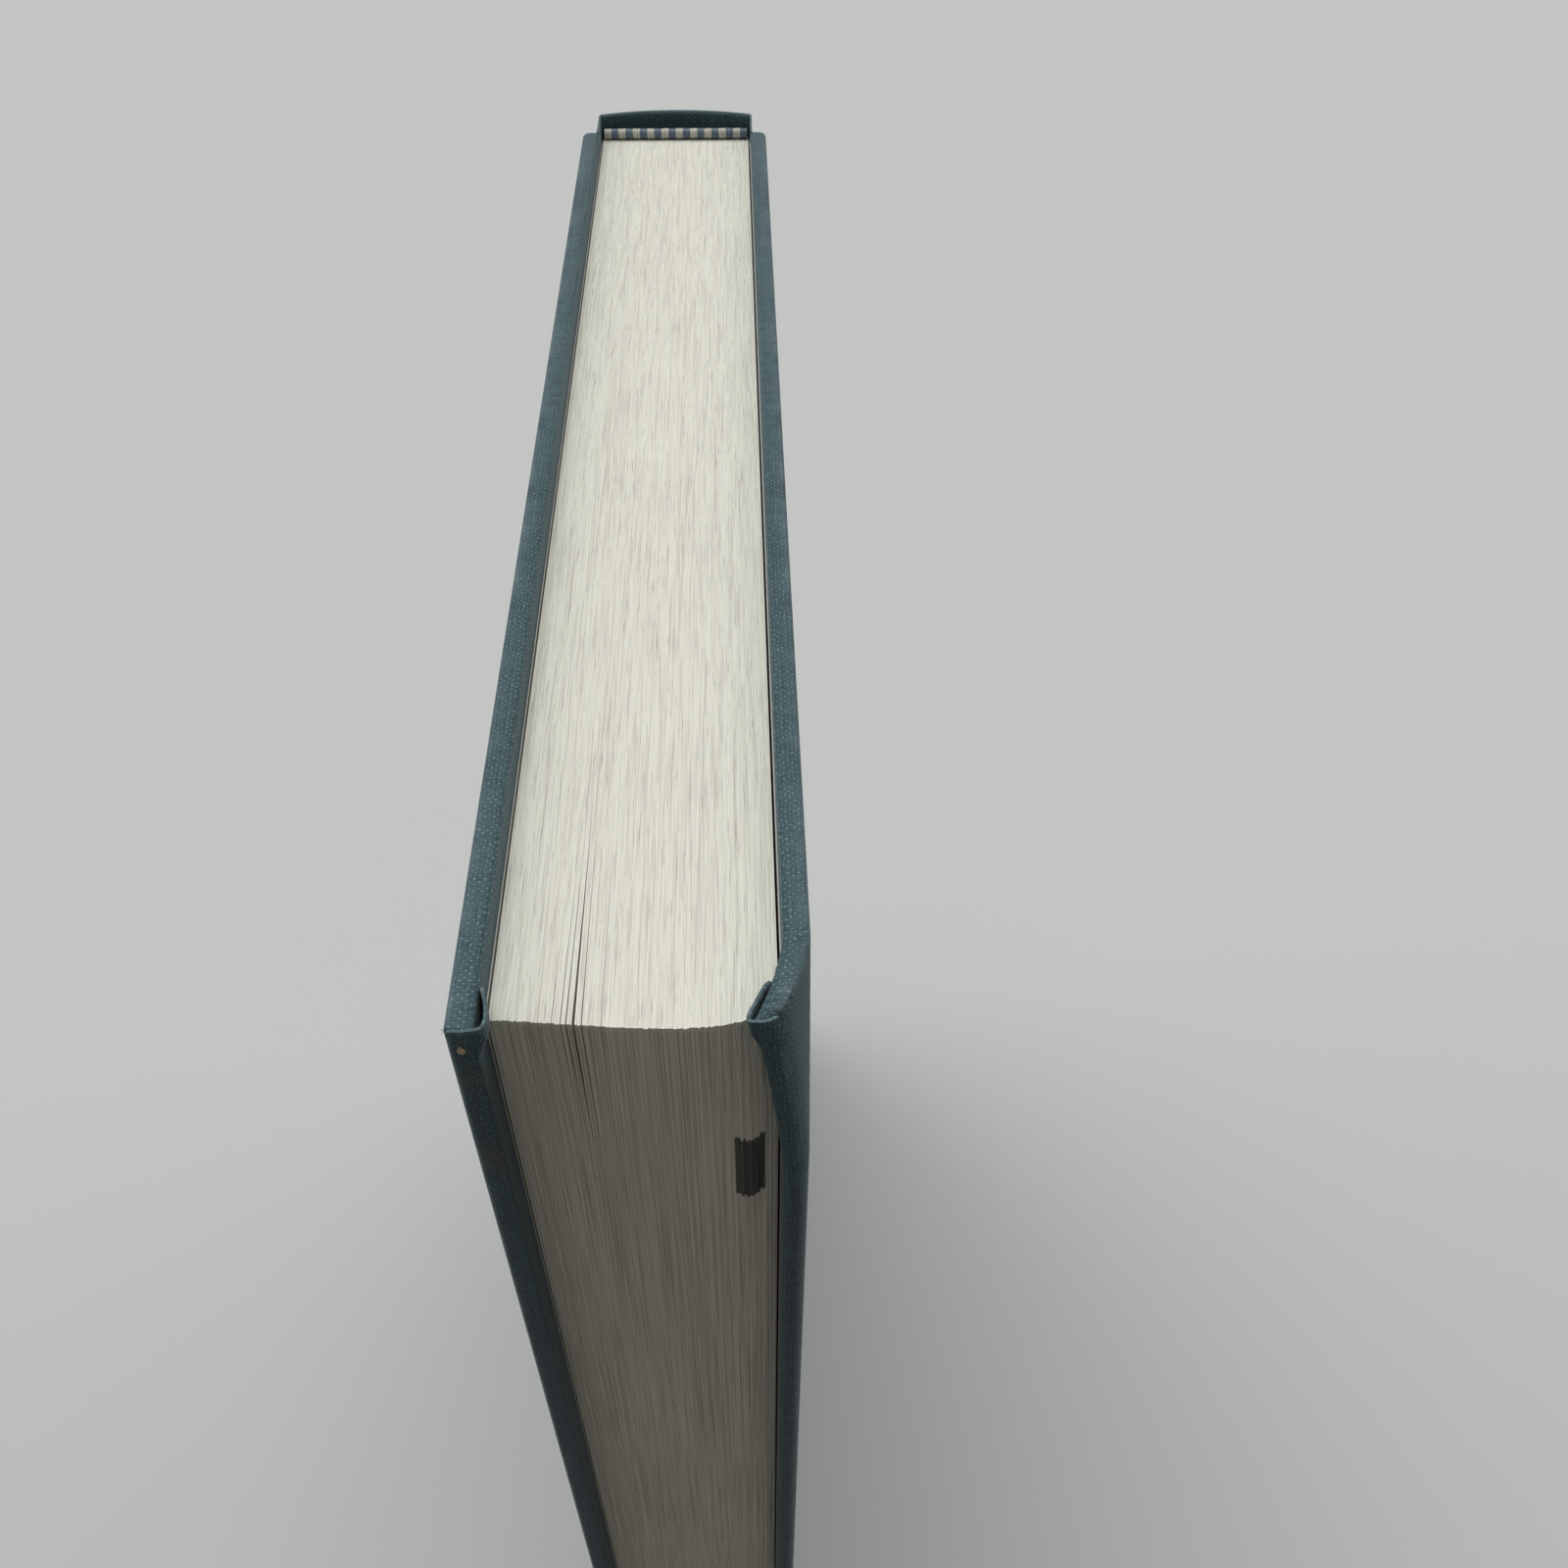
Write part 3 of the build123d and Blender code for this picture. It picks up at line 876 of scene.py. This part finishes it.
# Small wrinkles cross the head of the back cover where its corner bends.
wrinkle = repeats(2 * mm, 0.41667 * mm, 2 * mm)
wrinkle_reach = 2.2 * mm
wrinkle_full = 0.6 * mm
wrinkles_from_side, wrinkles_from_front = 1.2 * mm, 2.6 * mm
flat_place = np.array([(cover_out - wrinkles_from_side, cover_front + wrinkles_from_front, cover_top)])
bend_place = bumped(flat_place)[0]
weave_bump = add_node(tree, "Bump", {"Height": height.outputs[0], "Strength": 0.2, "Distance": 0.08 * mm})
from_bend = add_node(tree, "VectorMath", {0: spot, 1: tuple(bend_place)}, operation="DISTANCE")
at_bend = add_node(
    tree, "MapRange",
    {"Value": from_bend.outputs["Value"], "From Min": wrinkle_reach, "From Max": wrinkle_full},
)
wrinkle_lines = add_node(tree, "Mapping", {"Vector": spot, "Scale": wrinkle})
wrinkles = add_node(tree, "TexNoise", {"Vector": wrinkle_lines.outputs[0], "Scale": 1.0, "Detail": 1.0})
wrinkled = add_node(
    tree, "Math", {0: wrinkles.outputs["Fac"], 1: at_bend.outputs[0]}, operation="MULTIPLY",
)
wrinkle_bump = add_node(
    tree, "Bump",
    {
        "Height": wrinkled.outputs[0], "Strength": 0.8, "Distance": 0.35 * mm,
        "Normal": weave_bump.outputs[0],
    },
)
tree.links.new(wrinkle_bump.outputs[0], shader.inputs["Normal"])


def mark_rub_and_lip_light(piece, sides, amount=1.0):
    """Marks how much a piece's cloth is rubbed, and on the corner folds a painted highlight on the lip:
    most on edges where two of its outer faces meet.
    """
    points = read_points(piece.data)
    close = [np.clip(1 - abs(points[:, axis] - face) / rub_width, 0, 1) for axis, face in sides]
    close = np.sort(np.array(close), axis=0)
    rub_and_lip_light_marks = piece.data.attributes.new("rub_and_lip_light", "FLOAT", "POINT")
    rub_and_lip_light_marks.data.foreach_set("value", amount * np.clip(close[-2] * rub_strength, 0, 1))


def delete_faces(piece, unwanted):
    """Deletes the faces whose centre satisfies a test."""
    select_nothing(piece, "FACE")
    for polygon in piece.data.polygons:
        polygon.select = unwanted(polygon.center)
    bpy.ops.object.mode_set(mode="EDIT")
    bpy.ops.mesh.delete(type="FACE")
    bpy.ops.object.mode_set(mode="OBJECT")


def on_hinge_edge(a, b):
    """The outer edge of a cover along its joint."""
    return min(a.x, b.x) > cover_out - near and min(a.y, b.y) > joint_cover_y - near


def on_fore_edge(a, b):
    """The outer edge of a cover along its fore-edge."""
    return min(a.x, b.x) > cover_out - near and max(a.y, b.y) < cover_front + near


def on_rim(a, b):
    """The edges of a cover round its head and tail, and its inner one along the fore-edge."""
    at_end = min(a.z, b.z) > cover_top - near or max(a.z, b.z) < near
    inner_front = max(a.y, b.y) < cover_front + near and max(a.x, b.x) < cover_in + near
    return at_end or inner_front


def past_turn_in(centre):
    """Whether a face is on the inner side of a cover, where the cloth leaves the board bare."""
    inner = centre.x < cover_in + near
    past_front = centre.y > cover_front + turn_in
    return inner and past_front and turn_in < centre.z < cover_top - turn_in


for name, bent, fore_edge_round in (("front", False, 0.6 * mm), ("back", True, 1.5 * mm)):
    cloth = box_piece(
        name + "_cover_cloth", (cover_in, cover_front, 0), (cover_out, joint_cover_y, cover_top),
    )
    bevel_edges(cloth, on_hinge_edge, hinge_round, 4)
    bevel_edges(cloth, on_fore_edge, fore_edge_round, 4)
    bevel_edges(cloth, on_rim, edge_round, 4)
    slice_across(cloth, 1, bump_slices_y + [cover_front + turn_in] + long_slices_y)
    slice_across(cloth, 2, bump_slices_z + [cover_top - turn_in, turn_in] + long_slices_z)
    delete_faces(cloth, past_turn_in)
    mark_rub_and_lip_light(cloth, ((0, cover_out), (1, cover_front), (2, 0), (2, cover_top)))
    points = read_points(cloth.data)
    from_end = np.minimum(points[:, 2], cover_top - points[:, 2])
    under_fold = (points[:, 1] < cover_front + edge_round * 0.6) & (from_end < edge_round)
    inwards = np.where(points[:, 2] > turn_in, -fold_sink, fold_sink)
    points[:, 2] += np.where(under_fold, inwards, 0)
    write_points(cloth.data, points)
    if bent:
        select_nothing(cloth, "VERT")
        softened = bump_share(points[:, 1], points[:, 2]) > smoothed_from
        softened &= points[:, 0] > cover_in + edge_round
        cloth.data.vertices.foreach_set("select", softened)
        bpy.ops.object.mode_set(mode="EDIT")
        bpy.ops.mesh.vertices_smooth(factor=0.5, repeat=7)
        bpy.ops.object.mode_set(mode="OBJECT")
    thread_map(cloth)
    if bent:
        write_points(cloth.data, bumped(read_points(cloth.data)))
    else:
        turn_over(cloth)
    apply_modifier(cloth, "SOLIDIFY", thickness=cloth_thickness, offset=-1)
    smooth(cloth, 35)
    cloth.data.materials.append(bookcloth)
    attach(cloth, name + "_cover")
    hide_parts(name + "_cloth")

# Corner folds
# At each corner the fore-edge turn-in is folded over the head or tail one. Its edge shows as a lip across
# the thickness of the board, paler partly by rubbing and partly by a painted highlight on its top. At the
# two head corners its end has come unstuck inside the cover.
fold_low = 4.2 * mm
fold_thickness = 0.32 * mm
fold_lean = 0.4 * mm
fold_stuck_in = 0.3 * mm
fray_long, fray_short = 0.04 * mm, 0.03 * mm
# The upper edge of a fold starts as a lip near the outer face of the cover, further in on the back cover,
# whose edge is rounder. It runs over the thickness of the board, and then lifts off the inner face. Each
# place has its distance from the outer or inner face, from the fore-edge and above the head in millimetres.
lip_starts = {"front": (0.2, 0.25, -0.35), "back": (0.35, 0.75, -0.35)}
inner_path = ((0.7, 0.05, 0.02), (0.1, 0.08, 0.06))
lifted_path = (
    (0.4, 0.18, 0.1), (0.7, 0.45, 0.1), (0.84, 0.95, 0.08), (0.82, 1.7, 0.08),
    (0.7, 2.5, 0.1), (0.52, 3.3, 0.12), (0.3, 4.0, 0.1), (0.14, 4.5, -0.15),
)
for name, end, bent, lift in (
    ("front", 1, False, 1.0),
    ("back", 1, True, 0.75),
    ("front", -1, False, 0.12),
    ("back", -1, False, 0.12),
):
    start_x, start_y, start_z = lip_starts[name]
    lip_x = cover_out / mm - start_x
    path = [(lip_x, start_y, start_z), (lip_x - 0.4, start_y / 4, 0.04), (lip_x - 0.8, 0.05, 0.05)]
    path += [(cover_in / mm + inwards, y, z) for inwards, y, z in inner_path]
    path += [(cover_in / mm - lift * off, y, z) for off, y, z in lifted_path]
    path = np.array(path)
    bpy.ops.mesh.primitive_grid_add(x_subdivisions=36, y_subdivisions=8, size=1)
    fold = bpy.context.object
    fold.name = name + ("_head" if end > 0 else "_tail") + "_corner_fold"
    points = read_points(fold.data)
    along = (points[:, 0] + 0.5) * (len(path) - 1)
    down = 0.5 - points[:, 1]
    numbers = np.arange(len(path))
    x = np.interp(along, numbers, path[:, 0]) * mm
    y = cover_front + np.interp(along, numbers, path[:, 1]) * mm
    rise = np.interp(along, numbers, path[:, 2]) * mm
    stuck = np.clip(2 * down - 0.9, 0, 1) * 0.9
    y = y + fold_lean * down * np.clip((x - cover_in) / (0.6 * mm) + 0.8, 0, 1)
    x = np.where(x < cover_in, cover_in + (x - cover_in) * (1 - stuck) + fold_stuck_in * stuck, x)
    frayed = fray_long * np.sin(1.9 * along + lift) + fray_short * np.sin(4.3 * along)
    z = cover_top + (rise + frayed) * (1 - down) - fold_low * down
    points = np.column_stack((x, y, z))
    if bent:
        points = bumped(points)
    if end < 0:
        points[:, 2] = cover_top - points[:, 2]
    write_points(fold.data, points)
    if end < 0:
        fold.data.flip_normals()
    apply_modifier(
        fold, "SOLIDIFY",
        thickness=fold_thickness, offset=0, edge_crease_outer=0.4, edge_crease_inner=0.4,
    )
    apply_modifier(fold, "SUBSURF", levels=1, render_levels=1)
    # The top of each fold is painted paler: partly rubbed wear, partly a painted highlight on the lip,
    # whose top faces the light.
    mark_rub_and_lip_light(fold, ((2, cover_top), (2, cover_top), (2, 0), (2, 0)), 1.3)
    thread_map(fold)
    if name == "front":
        turn_over(fold)
    face_outwards(fold)
    smooth(fold, 60)
    fold.data.materials.append(bookcloth)
    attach(fold, name + "_cover")

# A few threads have worked loose at the outer head corner of the front cover. Each bends from the corner
# to its end, given here in millimetres from the corner.
loose_ends = ((-0.5, 0.05, 0.1), (-0.2, -0.15, 0.35), (-0.4, -0.1, -0.1))
loose_radius = 0.025 * mm
loose_curl = 0.1 * mm
loose_root = (-cover_out + 0.2 * mm, cover_front + 0.25 * mm, cover_top - 0.3 * mm)
loose_threads = []
for number, loose_end in enumerate(loose_ends):
    bpy.ops.mesh.primitive_cylinder_add(vertices=6, radius=loose_radius, depth=1 * mm)
    thread = bpy.context.object
    slice_across(thread, 2, [share * mm for share in (-0.3, -0.1, 0.1, 0.3)])
    points = read_points(thread.data)
    along = points[:, 2] / mm + 0.5
    taper = 1 - 0.4 * along
    curl = loose_curl * np.sin(np.pi * along + number)
    reach = [distance * mm * along for distance in loose_end]
    points = np.column_stack((
        loose_root[0] + points[:, 0] * taper + reach[0],
        loose_root[1] + points[:, 1] * taper + reach[1] + curl * along,
        loose_root[2] + points[:, 0] * taper * 0.5 + reach[2] + curl,
    ))
    write_points(thread.data, points)
    loose_threads.append(thread)
fray = join(loose_threads, "front_corner_fray")
bpy.ops.object.transform_apply(location=True, rotation=True, scale=True)
mark_rub_and_lip_light(fray, ((2, cover_top), (2, cover_top)), 2.2)
thread_map(fray)
smooth(fray, 60)
fray.data.materials.append(bookcloth)
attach(fray, "front_cover")

# Spine cloth
# The same cloth over the arched spine card, turned in at head and tail. The spine is hollow: the cloth
# isn't glued to the leaves.
inlay_low, inlay_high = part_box("spine_inlay")
card_thickness = 0.6 * mm
spine_round = 0.42 * mm
spine_rise = inlay_high.y - inlay_low.y - card_thickness
spine_half = inlay_high.x + cloth_thickness
spine_inside = inlay_low.y - cloth_thickness
spine_outside = inlay_low.y + card_thickness + cloth_thickness
spine_cloth = box_piece(
    "arched_spine_cloth", (-spine_half, spine_inside, 0), (spine_half, spine_outside, cover_top),
)
bevel_edges(spine_cloth, lambda a, b: True, spine_round, 4)
slice_across(spine_cloth, 0, [spine_half * (number / 9) for number in range(-8, 9)])
slice_across(spine_cloth, 2, [turn_in] + long_slices_z + [cover_top - turn_in])
delete_faces(
    spine_cloth,
    lambda centre: centre.y < spine_inside + near and turn_in < centre.z < cover_top - turn_in,
)
mark_rub_and_lip_light(spine_cloth, ((1, spine_outside), (2, 0), (2, cover_top), (0, -spine_half), (0, spine_half)))
points = read_points(spine_cloth.data)
points[:, 1] += spine_rise * (1 - (points[:, 0] / spine_half) ** 2)
write_points(spine_cloth.data, points)
thread_map(spine_cloth)
apply_modifier(spine_cloth, "SOLIDIFY", thickness=cloth_thickness, offset=-1)
smooth(spine_cloth, 35)
spine_cloth.data.materials.append(bookcloth)
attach(spine_cloth, "book_block")
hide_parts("spine_cloth")

# Joint cloth
# The cloth between spine and boards, pressed down into a groove where the covers bend. It is glued only
# to the hinge edge of the board and to the edge of the spine card.
groove_depth = 0.05 * mm
board_lap, card_lap = 0.15 * mm, 0.05 * mm


def joint_cloth_lie(along):
    """The cloth is level with the inner face of the board, and a little lower in the middle."""
    return cover_in + cloth_thickness / 2 - groove_depth * np.sin(np.pi * along)


for name, side in (("front", -1), ("back", 1)):
    strip = joint_strip(
        name + "_joint_cloth", side, 26,
        (joint_cover_y - board_lap, joint_block_y + card_lap), (0, cover_top),
        joint_cloth_lie, cloth_thickness,
    )
    mark_rub_and_lip_light(strip, ((2, 0), (2, 0), (2, cover_top), (2, cover_top)))
    thread_map(strip)
    strip.data.materials.append(bookcloth)
    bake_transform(strip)

# Studio
# A pale floor in a pale room, one wide soft light above and a little behind, a soft light on each side, a
# weak one in front, and the camera close in front of and above the head of the book.
bpy.ops.mesh.primitive_plane_add(size=6, location=(0, 0, 0))
floor = bpy.context.object
floor.name = "floor"

# Matte paint: pale to the eye, but it throws less light back on to the book than it would in a white room.
painted_floor, tree, shader = finish_of("pale_matte_floor", 0.95)
ray = add_node(tree, "LightPath", {})
seen_or_mirrored = add_node(
    tree, "Math", {0: ray.outputs["Is Camera Ray"], 1: ray.outputs["Is Glossy Ray"]}, operation="MAXIMUM",
)
floor_colour = add_node(
    tree, "Mix", {0: seen_or_mirrored.outputs[0], 6: linear("#756E66"), 7: linear("#C6C7C6")},
    data_type="RGBA",
)
tree.links.new(floor_colour.outputs[2], shader.inputs["Base Color"])
floor.data.materials.append(painted_floor)

# The room's light on the book is weak, and the room itself looks as pale as the floor.
world = bpy.data.worlds.new("pale_room")
bpy.context.scene.world = world
world.use_nodes = True
tree = world.node_tree
room_light = tree.nodes["Background"]
room_light.inputs["Color"].default_value = linear("#E8EAEC")
room_light.inputs["Strength"].default_value = 0.1
room_seen = add_node(tree, "Background", {"Color": linear("#C6C8C7"), "Strength": 1.0})
ray = add_node(tree, "LightPath", {})
room = add_node(
    tree, "MixShader",
    {0: ray.outputs["Is Camera Ray"], 1: room_light.outputs[0], 2: room_seen.outputs[0]},
)
tree.links.new(room.outputs[0], tree.nodes["World Output"].inputs["Surface"])

# Each soft light comes evenly from one direction, as from a wide screen.
light_spread = math.radians(55)
for name, source, strength in (
    ("overhead_light", (-0.12, 0.28, 1.0), 1.9),
    ("front_fill", (0.35, -1.0, 0.55), 0.06),
    ("left_fill", (-1.0, 0.4, 0.5), 1.1),
    ("right_fill", (1.0, 0.7, 0.6), 1.0),
):
    lamp = bpy.data.lights.new(name, "SUN")
    lamp.angle = light_spread
    lamp.energy = strength
    holder = bpy.data.objects.new(name, lamp)
    bpy.context.collection.objects.link(holder)
    holder.rotation_euler = Vector(source).to_track_quat("Z", "Y").to_euler()

# The camera stands where the edges of the leaves and covers meet those in the picture.
lens_pixels = 1488.0
frame_pixels = 1600.0
camera_turn = math.radians(2.27)
camera_down = math.radians(45.86)
camera_roll = math.radians(0.627)
camera_data = bpy.data.cameras.new("camera")
camera_data.sensor_width = 36.0
camera_data.lens = camera_data.sensor_width * lens_pixels / frame_pixels
camera_data.clip_start = 0.01
camera = bpy.data.objects.new("camera", camera_data)
bpy.context.collection.objects.link(camera)
eye = Vector((9.42 * mm, fore_edge - 70.4 * mm, head + 100.0 * mm))
camera.matrix_world = (
    Matrix.Translation(eye)
    @ Matrix.Rotation(-camera_turn, 4, "Z")
    @ Matrix.Rotation(math.pi / 2 - camera_down, 4, "X")
    @ Matrix.Rotation(camera_roll, 4, "Z")
)
bpy.context.scene.camera = camera
bpy.context.scene.view_settings.view_transform = "Standard"
